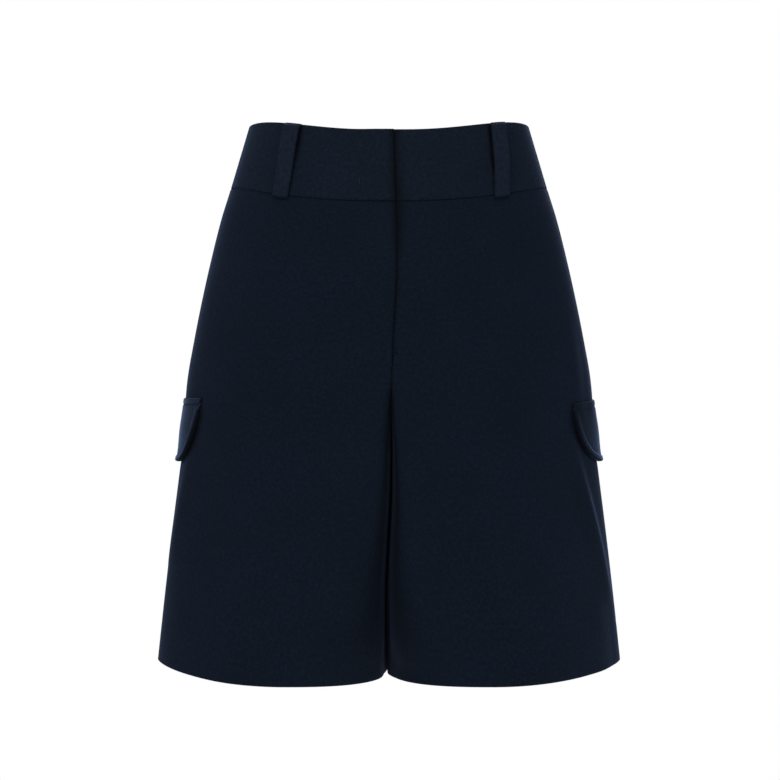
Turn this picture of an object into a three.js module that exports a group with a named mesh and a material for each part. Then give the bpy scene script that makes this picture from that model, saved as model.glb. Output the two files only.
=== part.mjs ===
// Knee-length bermuda shorts, kept open as if worn: four cloth panels, a shaped waistband in three
// pieces with a lapped front, five belt loops and a pocket flap on each side.
// Millimetres. x runs to the wearer's left, y to the back and z up. The origin is the middle of
// the waist, half way up the band at the side.
import * as THREE from "three";

const seamGap = 0.3;
const clothThick = 1.8;
const bandThick = 3;
const hemTurnUp = 38;
const hemExtraThick = 1.6;
const hemStep = 3;

const bandTop = 31;
const bandSeam = -28.5;
const hemSide = -475;

// The waist edges dip at the centre front and rise a little at the centre back.
const edgeDips = {
  front: { top: { dip: 13.7, power: 3.6 }, seam: { dip: 20, power: 2.1 } },
  back: { top: { dip: -4, power: 2 }, seam: { dip: -3, power: 2 } },
};
const seamDipFade = 150;
const hemDrop = 11.4;
const hemDropPower = 1.6;
const hemDropFrom = -330;

// Outer sizes of the body at each level: half the width at the side seams, how far the front and
// the back stand from the side seams, and how pointed the side is (1 is an ellipse).
const levels = [
  { z: 40, halfWidth: 129.7, front: 92, back: 89, sidePower: 1 },
  { z: 0, halfWidth: 141.6, front: 97, back: 95, sidePower: 1 },
  { z: -28.5, halfWidth: 150.1, front: 100.5, back: 101, sidePower: 1 },
  { z: -57, halfWidth: 159, front: 103.5, back: 108, sidePower: 1 },
  { z: -95, halfWidth: 168.6, front: 106, back: 117, sidePower: 1.02 },
  { z: -133, halfWidth: 177.2, front: 107, back: 124, sidePower: 1.05 },
  { z: -171, halfWidth: 184.8, front: 107, back: 127, sidePower: 1.08 },
  { z: -209, halfWidth: 191.4, front: 106, back: 126, sidePower: 1.12 },
  { z: -250, halfWidth: 194.5, front: 104.5, back: 121, sidePower: 1.18 },
  { z: -275, halfWidth: 196, front: 103.9, back: 117.5, sidePower: 1.22 },
  { z: -294, halfWidth: 198.6, front: 103.5, back: 115, sidePower: 1.26 },
  { z: -361, halfWidth: 207, front: 102, back: 109, sidePower: 1.36 },
  { z: -418, halfWidth: 213.6, front: 101, back: 105, sidePower: 1.44 },
  { z: -490, halfWidth: 221.3, front: 100, back: 102, sidePower: 1.5 },
];

// The line of the lapped edge, the centre seam and the gap between the legs, from the middle.
const centreLine = [
  { z: 40, x: 3.4 },
  { z: 16, x: 4.2 },
  { z: -47, x: 5.9 },
  { z: -92, x: 7 },
  { z: -116, x: 7 },
  { z: -159, x: 4.5 },
  { z: -196, x: 2.7 },
  { z: -230, x: 1.9 },
  { z: -275, x: 2.4 },
  { z: -316, x: 1.8 },
  { z: -350, x: 0 },
  { z: -400, x: -2.2 },
  { z: -440, x: -1.6 },
  { z: -490, x: -0.6 },
];

// The crotch seam leaves the centre front and back at forkTop and reaches the inseam at crotch.
// Below it each leg rounds in to the gap, most at the hem.
const crotch = -272;
const inseamBack = 12;
const legs = {
  front: { forkTop: -216, curvePower: 1.18, flat: 16, rounding: 78, roundingPower: 1.9 },
  back: { forkTop: -200, curvePower: 1.25, flat: 16, rounding: 80, roundingPower: 1.15 },
};
const legGap = 1;
const legGapFade = 60;
// The gap leans, to the wearer's right in front of the inseam and to the left behind it.
const gapLean = { across: 2.2, within: 26, fade: 60, ease: 16 };
const edgeTuck = 6;
// How square the leg's section is where it turns in to the gap, 2 being round, and the power by
// which it changes on the way down.
const corner = { atFork: 6.5, atHem: 2.6, fade: 1.8 };

// The fly: the wearer's right front laps over the left one, down to the bar tack. It stands proud
// up to riseFrom and falls away over riseWidth.
const fly = { lapFade: -178, lapEnd: -188, underlap: 12, riseFrom: 10, riseWidth: 26, riseFade: 20 };

// Soft folds that run down the sides from below the flaps, by their distance from the side seam.
const foldEnds = 0.7;
const folds = [
  { half: 1, face: "front", top: -264, bottom: -420, fromTop: 57, fromBottom: 15, width: 8, height: 3 },
  { half: -1, face: "front", top: -256, bottom: -386, fromTop: 38, fromBottom: 8, width: 11, height: 2 },
  { half: 1, face: "back", top: -262, bottom: -440, fromTop: 52, fromBottom: 16, width: 12, height: 2.2 },
  { half: -1, face: "back", top: -266, bottom: -430, fromTop: 48, fromBottom: 18, width: 12, height: 2 },
];

const loop = { width: 16.5, thick: 2.6, foot: 3.6, belowTop: 0.4, rest: 0.4 };
// Where each loop sits, by how far its middle is from the centre at its top and at its foot, how
// far it stands off the band, and how far up it first stands fully off and starts to turn back in.
const loops = [
  { name: "belt_loop_front_left", half: 1, face: "front", atTop: 96, atFoot: 102.3,
    stand: 4.8, full: 0.5, turn: 0.9 },
  { name: "belt_loop_front_right", half: -1, face: "front", atTop: 84, atFoot: 98.5,
    stand: 6.2, full: 0.88, turn: 0.93 },
  { name: "belt_loop_back_left", half: 1, face: "back", atTop: 76, atFoot: 82,
    stand: 4.4, full: 0.7, turn: 0.86 },
  { name: "belt_loop_back_right", half: -1, face: "back", atTop: 76, atFoot: 82,
    stand: 5, full: 0.75, turn: 0.88 },
  { name: "belt_loop_centre_back", half: 1, face: "back", atTop: 0, atFoot: 0,
    stand: 4.2, full: 0.65, turn: 0.85 },
];

const flap = { bottom: -286.5, thickTop: 1.8, thickEdge: 4.6, sideEdge: 5, rest: 0.4 };
// Where each flap's top lies and how far it drops to its front corner, how far it reaches from the
// side seam, how square its lower corners are, how much it narrows and how far it lifts off the leg.
const flaps = [
  { name: "pocket_flap_left", half: 1, top: -227.5, frontDrop: 3.5, toFront: 54.5, toBack: 66,
    squareness: 2.4, taper: 0.04, lift: 1.4 },
  { name: "pocket_flap_right", half: -1, top: -226, frontDrop: 0, toFront: 48.5, toBack: 72,
    squareness: 3.4, taper: 0.32, lift: 1.2 },
];

const colours = { cloth: 0x1b2433, band: 0x1d2636, trim: 0x202a3b };

// How finely the cloth is divided: across each half, and down each stretch of a panel.
const innerSteps = 6;
const faceSteps = 10;
const rowSteps = { hip: 6, lapEnd: 2, belowFly: 2, crotch: 6, leg: 6, hem: 2 };
const bandSteps = 4;
const loopSteps = 11;
const flapSteps = { down: 6, halfAcross: 8 };
const walkSteps = 80;
const quarter = Math.PI / 2;

const mix = (a, b, t) => a + (b - a) * t;
const clamp = (t) => Math.min(1, Math.max(0, t));
const smooth = (t) => clamp(t) ** 2 * (3 - 2 * clamp(t));

// A smooth curve through one column of a table whose rows go down in z.
function tableAt(rows, column, z) {
  let i = rows.findIndex((row) => row.z <= z) - 1;
  if (i === -2) i = rows.length - 2;
  i = Math.min(Math.max(i, 0), rows.length - 2);
  const at = (k) => rows[Math.min(Math.max(k, 0), rows.length - 1)];
  const slope = (a, b) => (at(b)[column] - at(a)[column]) / (at(b).z - at(a).z);
  const span = at(i + 1).z - at(i).z;
  const t = clamp((z - at(i).z) / span);
  const startSlope = i === 0 ? slope(0, 1) : slope(i - 1, i + 1);
  const endSlope = i === rows.length - 2 ? slope(i, i + 1) : slope(i, i + 2);
  const value = (2 * t ** 3 - 3 * t ** 2 + 1) * at(i)[column] + (3 * t ** 2 - 2 * t ** 3) * at(i + 1)[column];
  return value + span * ((t ** 3 - 2 * t ** 2 + t) * startSlope + (t ** 3 - t ** 2) * endSlope);
}

// A column of points goes down the cloth. Those with inner below 1 lie between the centre or the
// inseam and the joint with the round outer face, where turn runs to a quarter at the side seam.
const columns = [];
for (let i = 0; i < innerSteps; i++) columns.push({ inner: i / innerSteps, turn: 0 });
for (let i = 0; i <= faceSteps; i++) columns.push({ inner: 1, turn: (i / faceSteps) * quarter });

// How far from the side seams the crotch seam lies, once it has left the centre front or back.
function crotchDepth(face, z, depth) {
  const { forkTop, curvePower } = legs[face];
  const inseam = (face === "front" ? -inseamBack : inseamBack) + seamGap / 2;
  const down = clamp((forkTop - z) / (forkTop - crotch));
  return mix(inseam, depth, (1 - down ** curvePower) ** (1 / curvePower));
}

// How far the lapped edge of the fly stands proud at a distance from its own centre line.
function lapRise(half, face, ownX, z, thick) {
  if (half > 0 || face === "back") return 0;
  const down = 1 - smooth((fly.lapEnd - z) / fly.riseFade);
  return (thick + seamGap) * down * (1 - smooth((ownX - fly.riseFrom) / fly.riseWidth));
}

function foldRise(half, face, fromSide, z) {
  let rise = 0;
  for (const fold of folds) {
    const down = (fold.top - z) / (fold.top - fold.bottom);
    if (fold.half !== half || fold.face !== face || down <= 0 || down >= 1) continue;
    const off = (fromSide - mix(fold.fromTop, fold.fromBottom, down)) / fold.width;
    rise += fold.height * Math.sin(Math.PI * down) ** foldEnds * Math.exp(-off * off);
  }
  return rise;
}

// Where a half's own edge lies at the centre, with the lap and the part under it at the fly. The
// seat seam is in the middle as far as the fork, and eases over to the front's line by the crotch.
function centreEdge(half, face, z) {
  const { forkTop } = legs.back;
  const joined = face === "front" ? 1 : smooth((forkTop - z) / (forkTop - crotch));
  const line = tableAt(centreLine, "x", z) * half * joined;
  const gap = mix(seamGap / 2, legGap / 2, smooth((crotch - z) / legGapFade));
  if (face === "back" || z < fly.lapEnd) return line + gap;
  const open = smooth((z - fly.lapEnd) / (fly.lapFade - fly.lapEnd));
  return half > 0 ? line + gap - (fly.underlap + gap) * open : line + gap * (1 - open);
}

// How far the wall beside the gap is moved at a depth, on the wearer's left leg.
function leanAt(face, z, depth) {
  const forward = (face === "front" ? depth : -depth) + inseamBack;
  const near = smooth((gapLean.fade - Math.abs(forward)) / (gapLean.fade - gapLean.within));
  const lean = clamp(forward / gapLean.within / 2 + 1 / 2) * 2 - 1;
  return -gapLean.across * lean * near * smooth((crotch - z) / gapLean.ease);
}

// A point of the cloth on a column at a height, moved in from the outer face by inset.
function clothPoint({ half, face }, column, z, inset, lapThick = clothThick) {
  const leg = legs[face];
  const down = clamp((leg.forkTop - z) / (leg.forkTop - hemSide));
  const start = centreEdge(half, face, z);
  const joint = leg.flat + leg.rounding * down ** leg.roundingPower;
  const fullWidth = tableAt(levels, "halfWidth", z);
  const fullDepth = tableAt(levels, face, z);
  let x;
  let depth;
  if (column.inner < 1) {
    const turnedIn = fullDepth - crotchDepth(face, z, fullDepth);
    const flatX = mix(start, joint, column.inner);
    depth = fullDepth - inset + lapRise(half, face, flatX, z, lapThick);
    x = flatX;
    if (down > 0) {
      const power = 2 / mix(corner.atFork, corner.atHem, down ** corner.fade);
      const around = column.inner * quarter;
      const edgeX = start + inset * clamp(turnedIn / edgeTuck);
      x = mix(joint, edgeX, Math.cos(around) ** power);
      depth = mix(crotchDepth(face, z, fullDepth), depth, Math.sin(around) ** power);
      x += half * leanAt(face, z, depth) * Math.cos(around) ** power;
    }
  } else {
    const sidePower = tableAt(levels, "sidePower", z);
    const reach = Math.cos(column.turn) ** sidePower;
    const roundX = mix(joint, fullWidth, Math.sin(column.turn));
    const fromSide = Math.hypot(fullWidth - roundX, fullDepth * reach);
    const moved = inset - foldRise(half, face, fromSide, z) - lapRise(half, face, roundX, z, lapThick);
    x = mix(joint, fullWidth - moved, Math.sin(column.turn));
    depth = mix(seamGap / 2, fullDepth - moved, reach);
  }
  return new THREE.Vector3(half * x, face === "front" ? -depth : depth, z);
}

// A closed wall from a grid of outer points and the matching grid of inner points.
function wall(outer, inner) {
  const rows = outer.length;
  const across = outer[0].length;
  const points = [...outer.flat(), ...inner.flat()];
  const triangles = [];
  const quad = (a, b, c, d) => triangles.push(a, b, c, a, c, d);
  const out = (r, c) => r * across + c;
  const back = (r, c) => rows * across + r * across + c;
  for (let r = 0; r < rows - 1; r++) {
    for (let c = 0; c < across - 1; c++) {
      quad(out(r, c), out(r + 1, c), out(r + 1, c + 1), out(r, c + 1));
      quad(back(r, c), back(r, c + 1), back(r + 1, c + 1), back(r + 1, c));
    }
    quad(out(r, 0), back(r, 0), back(r + 1, 0), out(r + 1, 0));
    quad(out(r, across - 1), out(r + 1, across - 1), back(r + 1, across - 1), back(r, across - 1));
  }
  for (let c = 0; c < across - 1; c++) {
    quad(out(0, c), out(0, c + 1), back(0, c + 1), back(0, c));
    quad(out(rows - 1, c), back(rows - 1, c), back(rows - 1, c + 1), out(rows - 1, c + 1));
  }
  return facingOut(points, triangles);
}

// A geometry whose faces point out, whichever way round the grid was made.
function facingOut(points, triangles) {
  let volume = 0;
  for (let i = 0; i < triangles.length; i += 3) {
    const [a, b, c] = [0, 1, 2].map((k) => points[triangles[i + k]]);
    volume += a.dot(new THREE.Vector3().crossVectors(b, c));
  }
  if (volume < 0) triangles.reverse();
  const geometry = new THREE.BufferGeometry().setFromPoints(points);
  geometry.setIndex(triangles);
  geometry.computeVertexNormals();
  return geometry;
}

// How far an edge of the waistband dips below its height at the side seam.
function dipOf(face, column, edge) {
  const { dip, power } = edgeDips[face][edge];
  return dip * Math.cos(column.turn) ** power;
}

// The height of a row on a column: the waist seam and the hem aren't level all round.
function clothHeight(face, column, z) {
  const nearSeam = clamp(1 - (bandSeam - z) / seamDipFade) ** 2;
  const nearHem = clamp((hemDropFrom - z) / (hemDropFrom - hemSide)) ** 2;
  const drop = hemDrop * Math.cos(column.turn) ** hemDropPower;
  return z - dipOf(face, column, "seam") * nearSeam - drop * nearHem;
}

function between(from, to, steps) {
  return Array.from({ length: steps }, (_, i) => mix(from, to, i / steps));
}

// The rows of a panel, close together where the crotch seam turns under.
function panelRows(face) {
  const { forkTop } = legs[face];
  const hemLine = hemSide + hemTurnUp;
  return [
    ...between(bandSeam - seamGap / 2, fly.lapFade, rowSteps.hip),
    ...between(fly.lapFade, fly.lapEnd, rowSteps.lapEnd),
    ...between(fly.lapEnd, forkTop, rowSteps.belowFly),
    ...between(forkTop, crotch, rowSteps.crotch),
    ...between(crotch, hemLine + hemStep, rowSteps.leg),
    hemLine + hemStep,
    ...between(hemLine, hemSide, rowSteps.hem),
    hemSide,
  ];
}

function panel(half, face) {
  const rows = panelRows(face);
  const place = { half, face };
  const thickAt = (z) => clothThick + hemExtraThick * smooth((hemSide + hemTurnUp + hemStep - z) / hemStep);
  const grid = (insetAt) =>
    rows.map((z) => columns.map((c) => clothPoint(place, c, clothHeight(face, c, z), insetAt(z))));
  return wall(grid(() => 0), grid(thickAt));
}

const bandRows = between(0, 1, bandSteps).concat(1);

// A point of the waistband, up from the seam at 0 to the top edge at 1.
function bandPoint(place, column, up, inset) {
  const seam = bandSeam + seamGap / 2 - dipOf(place.face, column, "seam");
  const top = bandTop - dipOf(place.face, column, "top");
  return clothPoint(place, column, mix(seam, top, up), inset, bandThick);
}

function frontBand(half) {
  const place = { half, face: "front" };
  const grid = (inset) => bandRows.map((up) => columns.map((c) => bandPoint(place, c, up, inset)));
  return wall(grid(0), grid(bandThick));
}

// The back band runs in one piece from side to side.
function backBand() {
  const way = (half, list) => list.map((column) => ({ place: { half, face: "back" }, column }));
  const across = [...way(-1, [...columns].reverse()), ...way(1, columns)];
  const grid = (inset) => bandRows.map((up) => across.map((a) => bandPoint(a.place, a.column, up, inset)));
  return wall(grid(0), grid(bandThick));
}

// The column that lies at a distance from the centre at a height.
function columnAt(face, x, z) {
  const { flat } = legs[face];
  const width = tableAt(levels, "halfWidth", z);
  return { inner: 1, turn: Math.asin(clamp((x - flat) / (width - flat))) };
}

// A point on the band or just below it, at x from the centre on either side, moved out.
function beltPoint(half, face, x, z, out) {
  const side = x < 0 ? -half : half;
  const near = Math.abs(x);
  const flat = legs[face].flat;
  if (near < flat) {
    const depth = tableAt(levels, face, z) + out;
    return new THREE.Vector3(side * near, face === "front" ? -depth : depth, z);
  }
  return clothPoint({ half: side, face }, columnAt(face, near, z), z, -out);
}

// How far the inside of a loop stands from the band on its way up: it is sewn in at the seam,
// bows out for a belt and turns back in at the top edge.
function loopStand({ stand, full, turn }, up) {
  return loop.rest + stand * smooth(up / full) * (1 - smooth((up - turn) / (1 - turn)));
}

// Half the width that a loop spans in x, less where the band curves away under it.
function halfSpan(face, x, z) {
  const width = tableAt(levels, "halfWidth", z);
  const lean = (x * tableAt(levels, face, z)) / (width * Math.sqrt(width ** 2 - x ** 2));
  return loop.width / 2 / Math.hypot(1, lean);
}

// The height at a share of the way up a loop, whose ends follow the edges of the band.
function loopHeight(face, x, up) {
  const near = Math.abs(x);
  const top = bandTop - dipOf(face, columnAt(face, near, bandTop), "top") - loop.belowTop;
  const foot = bandSeam - dipOf(face, columnAt(face, near, bandSeam), "seam") - loop.foot;
  return mix(foot, top, up);
}

function beltLoop(row) {
  const { half, face, atTop, atFoot } = row;
  const rows = between(0, 1, loopSteps).concat(1);
  const grid = (extra) =>
    rows.map((up) => {
      const middle = mix(atFoot, atTop, up);
      const span = halfSpan(face, middle, loopHeight(face, middle, up));
      return [-1, 0, 1].map((side) => {
        const x = middle + side * span;
        return beltPoint(half, face, x, loopHeight(face, x, up), loopStand(row, up) + extra);
      });
    });
  return wall(grid(loop.thick), grid(0));
}

// The point at a distance round from the side seam, to the back if it is positive, moved out.
function sidePoint(half, distance, z, out) {
  const place = { half, face: distance < 0 ? "front" : "back" };
  const at = (k) => clothPoint(place, { inner: 1, turn: quarter * (1 - k / walkSteps) }, z, -out);
  let walked = 0;
  let here = at(0);
  for (let k = 1; k <= walkSteps; k++) {
    const next = at(k);
    const step = here.distanceTo(next);
    if (walked + step >= Math.abs(distance)) return here.lerp(next, (Math.abs(distance) - walked) / step);
    walked += step;
    here = next;
  }
  return here;
}

// A flap is straight down its side edges, then rounds to the bottom, and lifts off the leg there.
function pocketFlap({ half, top, frontDrop, toFront, toBack, squareness, taper, lift }) {
  const rows = between(0, 1, flapSteps.down).concat(1);
  const across = [];
  for (let i = -flapSteps.halfAcross; i <= flapSteps.halfAcross; i++) {
    across.push(Math.sin((i / flapSteps.halfAcross) * quarter));
  }
  const height = top - flap.bottom;
  const rounded = height - flap.sideEdge;
  const bottomAt = (u) => flap.sideEdge + rounded * (1 - Math.abs(u) ** squareness) ** (1 / squareness);
  const grid = (isOuter) =>
    rows.map((down) =>
      across.map((u) => {
        const below = down * bottomAt(u);
        const thick = isOuter ? mix(flap.thickTop, flap.thickEdge, below / height) : 0;
        const out = flap.rest + (lift * below) / height + thick;
        const z = top - below - frontDrop * Math.max(0, -u) * (1 - down);
        const reach = (u < 0 ? toFront : toBack) * (1 - (taper * below) / height);
        return sidePoint(half, u * reach, z, out);
      }),
    );
  return wall(grid(true), grid(false));
}

const shorts = new THREE.Group();
function add(name, geometry, color) {
  const material = new THREE.MeshStandardMaterial({ color, roughness: 0.92, metalness: 0 });
  const mesh = new THREE.Mesh(geometry, material);
  mesh.name = name;
  shorts.add(mesh);
}

for (const [side, half] of [["left", 1], ["right", -1]]) {
  add(`front_${side}`, panel(half, "front"), colours.cloth);
  add(`back_${side}`, panel(half, "back"), colours.cloth);
  add(`waistband_front_${side}`, frontBand(half), colours.band);
}
add("waistband_back", backBand(), colours.band);
for (const row of loops) add(row.name, beltLoop(row), colours.trim);
for (const row of flaps) add(row.name, pocketFlap(row), colours.trim);

export default shorts;
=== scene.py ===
import bpy
import numpy as np
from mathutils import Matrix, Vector


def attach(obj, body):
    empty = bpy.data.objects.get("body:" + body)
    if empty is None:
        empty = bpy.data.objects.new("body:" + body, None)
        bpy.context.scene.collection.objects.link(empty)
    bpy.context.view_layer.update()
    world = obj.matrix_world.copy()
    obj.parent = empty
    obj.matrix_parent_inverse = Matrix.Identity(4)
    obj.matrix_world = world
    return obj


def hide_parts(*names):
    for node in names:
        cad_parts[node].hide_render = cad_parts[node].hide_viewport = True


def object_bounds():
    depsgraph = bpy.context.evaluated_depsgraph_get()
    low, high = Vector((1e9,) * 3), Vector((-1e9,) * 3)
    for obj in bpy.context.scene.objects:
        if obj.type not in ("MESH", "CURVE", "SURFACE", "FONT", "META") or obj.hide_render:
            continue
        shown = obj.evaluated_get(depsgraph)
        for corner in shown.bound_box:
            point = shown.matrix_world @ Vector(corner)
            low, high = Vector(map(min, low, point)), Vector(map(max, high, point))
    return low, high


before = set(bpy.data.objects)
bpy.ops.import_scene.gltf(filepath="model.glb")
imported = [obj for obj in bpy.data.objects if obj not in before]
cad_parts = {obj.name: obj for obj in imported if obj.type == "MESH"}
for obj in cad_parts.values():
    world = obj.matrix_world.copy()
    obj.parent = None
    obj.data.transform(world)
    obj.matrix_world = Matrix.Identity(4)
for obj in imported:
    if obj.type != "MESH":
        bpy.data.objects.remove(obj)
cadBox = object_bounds()
scene = bpy.context.scene
mm = 0.001
quarter = np.pi / 2
print("frame loaded:", len(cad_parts), "nodes")


# camera: level with the middle of the photo, straight at the front, in mm
view = {
    "photoWidth": 780,  # pixels
    "pixel": 0.95,  # what one pixel spans at the side seams
    "distance": 1900.0, "sideways": 0.95, "height": -218.5, "sensor": 36.0,
}
camera = bpy.data.objects.new("camera", bpy.data.cameras.new("camera"))
scene.collection.objects.link(camera)
camera.data.sensor_width = view["sensor"]
camera.data.lens = view["sensor"] * view["distance"] / (view["photoWidth"] * view["pixel"])
camera.location = Vector((view["sideways"], -view["distance"], view["height"])) * mm
camera.rotation_euler = (quarter, 0, 0)
scene.camera = camera
scene.view_settings.view_transform = "Standard"


# studio, in metres: a white surround, a big soft key from the upper left, a fill from the right, a
# narrow light beside each leg, one above and one behind
surround = {
    "seen": 1.0,  # how white the background looks
    "light": 0.2,  # how much it lights the cloth
    "tint": "f4f6ff",
}
lamps = {
    "key": {"at": (-0.9, -2.5, 1.2), "size": (1.8, 1.6), "watts": 38, "tint": "ffffff"},
    "fill": {"at": (0.9, -2.4, -0.1), "size": (1.6, 1.8), "watts": 19, "tint": "ffffff"},
    "leftStrip": {"at": (-1.5, 0.25, 0.0), "size": (0.5, 1.6), "watts": 7.5, "tint": "cfe2ff"},
    "rightStrip": {"at": (0.85, 0.12, -0.52), "size": (0.3, 0.5), "watts": 2.2, "tint": "cfe2ff"},
    "top": {"at": (0.0, -0.5, 1.6), "size": (1.6, 1.4), "watts": 11, "tint": "ffffff"},
    "back": {"at": (0.3, 2.7, 0.9), "size": (2.0, 1.6), "watts": 52, "tint": "eef4ff"},
}
lampsLookAt = (0.0, 0.0, -0.22)


# Adds a node with its settings, and sets or links each input that is named.
def addNode(tree, kind, settings=None, **links):
    node = tree.nodes.new("ShaderNode" + kind)
    for name, value in (settings or {}).items():
        setattr(node, name, value)
    for name, value in links.items():
        if name.startswith("in") and name[2:].isdigit():
            socket = node.inputs[int(name[2:])]
        else:
            wanted = name.replace("_", " ").lower()
            socket = next(s for s in node.inputs if s.name.lower() == wanted and s.enabled)
        if isinstance(value, bpy.types.NodeSocket):
            tree.links.new(value, socket)
        else:
            socket.default_value = value
    return node


# An sRGB hex colour made linear: a channel over 12.92 where it is dark, else a power of 2.4.
def linear(hexText):
    srgb = np.array([int(hexText[i:i + 2], 16) for i in (0, 2, 4)]) / 255
    value = np.where(srgb <= 0.04045, srgb / 12.92, ((srgb + 0.055) / 1.055) ** 2.4)
    return (*value, 1.0)


# An empty material and its node tree.
def newMaterial(name):
    material = bpy.data.materials.new(name)
    material.use_nodes = True
    material.node_tree.nodes.clear()
    return material, material.node_tree


# The surround: white to the camera, and weaker as a light.
def makeSurround():
    world = bpy.data.worlds.new("surround")
    scene.world = world
    world.use_nodes = True
    tree = world.node_tree
    tree.nodes.clear()
    ray = addNode(tree, "LightPath")
    lighting = addNode(tree, "Background", Color=linear(surround["tint"]), Strength=surround["light"])
    backdrop = addNode(tree, "Background", Color=(1, 1, 1, 1), Strength=surround["seen"])
    seen = addNode(tree, "MixShader", in0=ray.outputs["Is Camera Ray"],
                   in1=lighting.outputs[0], in2=backdrop.outputs[0])
    addNode(tree, "OutputWorld", Surface=seen.outputs[0])


# A flat soft light turned to the middle of the shorts.
def makeLamp(name, lamp):
    data = bpy.data.lights.new(name, "AREA")
    data.shape = "RECTANGLE"
    data.size, data.size_y = lamp["size"]
    data.energy = lamp["watts"]
    data.color = linear(lamp["tint"])[:3]
    light = bpy.data.objects.new(name, data)
    light.location = lamp["at"]
    aim = Vector(lampsLookAt) - Vector(lamp["at"])
    light.rotation_euler = aim.to_track_quat("-Z", "Y").to_euler()
    light.visible_camera = False
    scene.collection.objects.link(light)


makeSurround()
for name, lamp in lamps.items():
    makeLamp(name, lamp)
print("camera and lights placed")


# t held between 0 and 1
def clamp(t):
    return np.clip(t, 0.0, 1.0)


# an eased step from 0 to 1: three times t squared less twice t cubed
def smooth(t):
    t = clamp(t)
    return t * t * (3 - 2 * t)


# an eased step, over wide, with its middle at x = 0
def stepAt(x, over):
    return smooth(x / over + 0.5)


# a at 0, b at 1 and straight between them
def mix(a, b, t):
    return a + (b - a) * t


# a bell: e to minus x over its width, raised to a power
def bell(x, width, power=2):
    return np.exp(-(x / width) ** power)


# the cut of the shorts, in millimetres: x to the wearer's left, y to the back, z up
cut = {
    "cloth": 1.8, "band": 3.0,
    "gap": -0.06,  # at a seam the edges are sewn tight, each a hair past the other
    "lapClear": 0.3, "bandTop": 31.0, "bandSeam": -28.5, "hem": -475.0, "hemTurnUp": 38.0,
    "hemExtra": 1.6, "crotch": -272.0, "inseam": 12.0, "legGap": 1.0, "legGapFade": 60.0,
    "crotchClosed": 0.85,  # how much of the gap is closed at the crotch, and how far up and down
    "crotchClosedTall": 14.0, "squareAtFork": 6.5, "squareAtHem": 2.6, "squareFade": 1.8,
    "hemDrop": 11.4, "hemDropPower": 1.6, "hemDropFrom": -330.0, "seamDipFade": 150.0,
}
# how far the band's top and its seam dip, and the power of the cosine
dips = {
    "front": {"top": (13.7, 3.6), "seam": (20.0, 2.1)},
    "back": {"top": (-4.0, 2.0), "seam": (-3.0, 2.0)},
}
# the fork's top and curve, and how flat and how round each face is towards the middle
legs = {
    "front": {"forkTop": -216.0, "curve": 1.18, "flat": 16.0, "rounding": 78.0, "power": 1.9},
    "back": {"forkTop": -200.0, "curve": 1.25, "flat": 16.0, "rounding": 80.0, "power": 1.15},
}
fly = {
    "lapFade": -178.0, "lapEnd": -188.0, "underlap": 12.0, "riseFrom": 10.0, "riseWidth": 26.0,
    "riseFade": 20.0,
    "rounded": 4.5,  # how wide the edge rounds off, and how deep
    "roundDeep": 0.9,
    "dip": 0.9,  # how far the cloth beside the edge sinks
    "dipFade": 10.0,
    "edgeShade": 0.8,  # how dark the painted shade on the edge is
}
# outer half width, depth of front and back from the side seams, and how pointed the side is
levels = {
    "z":         [40, 0, -28.5, -57, -95, -133, -171, -209, -250, -275, -294, -361, -418, -490],
    "halfWidth": [129.7, 141.6, 150.1, 159, 168.6, 177.2, 184.8, 191.4, 194.5, 196, 198.6, 207, 213.6, 221.3],
    "front":     [92, 97, 100.5, 103.5, 106, 107, 107, 106, 104.5, 103.9, 103.5, 102, 101, 100],
    "back":      [89, 95, 101, 108, 117, 124, 127, 126, 121, 117.5, 115, 109, 105, 102],
    "sidePower": [1, 1, 1, 1, 1.02, 1.05, 1.08, 1.12, 1.18, 1.22, 1.26, 1.36, 1.44, 1.5],
}
# how far the fly's edge, the crotch seam and the gap between the legs lie from the middle
centreLine = {
    "z": [40, 16, -47, -92, -116, -159, -196, -230, -275, -316, -350, -400, -440, -490],
    "x": [3.4, 4.2, 5.9, 7.0, 7.0, 4.5, 2.7, 1.9, 2.4, 1.8, 0.0, -2.2, -1.6, -0.6],
}
gapLean = {"across": 2.2, "within": 26.0, "fade": 60.0, "ease": 16.0}


# A smooth curve through one column of a table: each stretch is a cubic whose end slopes are those
# of the chords between the neighbouring rows.
def along(table, column, z):
    rowZ = np.array(table["z"], float)
    value = np.array(table[column], float)
    slope = np.empty_like(value)
    slope[1:-1] = (value[2:] - value[:-2]) / (rowZ[2:] - rowZ[:-2])
    slope[0] = (value[1] - value[0]) / (rowZ[1] - rowZ[0])
    slope[-1] = (value[-1] - value[-2]) / (rowZ[-1] - rowZ[-2])
    z = np.clip(z, rowZ[-1], rowZ[0])
    i = np.clip(np.searchsorted(-rowZ, -z, side="right") - 1, 0, len(rowZ) - 2)
    span = rowZ[i + 1] - rowZ[i]
    t = (z - rowZ[i]) / span
    ends = (2 * t**3 - 3 * t**2 + 1) * value[i] + (3 * t**2 - 2 * t**3) * value[i + 1]
    return ends + span * ((t**3 - 2 * t**2 + t) * slope[i] + (t**3 - t**2) * slope[i + 1])


# One column of a table at a height, in straight lines from row to row.
def straightAt(table, column, z):
    return np.interp(-z, -np.array(table["z"], float), table[column])


# How far the crotch seam lies from the side seams: a superellipse from the full depth at the top of
# the fork down to the inseam at the crotch.
def crotchDepth(face, z, depth):
    leg = legs[face]
    inseam = (-cut["inseam"] if face == "front" else cut["inseam"]) + cut["gap"] / 2
    down = clamp((leg["forkTop"] - z) / (leg["forkTop"] - cut["crotch"]))
    return mix(inseam, depth, (1 - down ** leg["curve"]) ** (1 / leg["curve"]))


# How far the front is open at a height: 1 above the foot of the fly, eased to 0 below it.
def flyOpen(z):
    return smooth((z - fly["lapEnd"]) / (fly["lapFade"] - fly["lapEnd"]))


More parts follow.
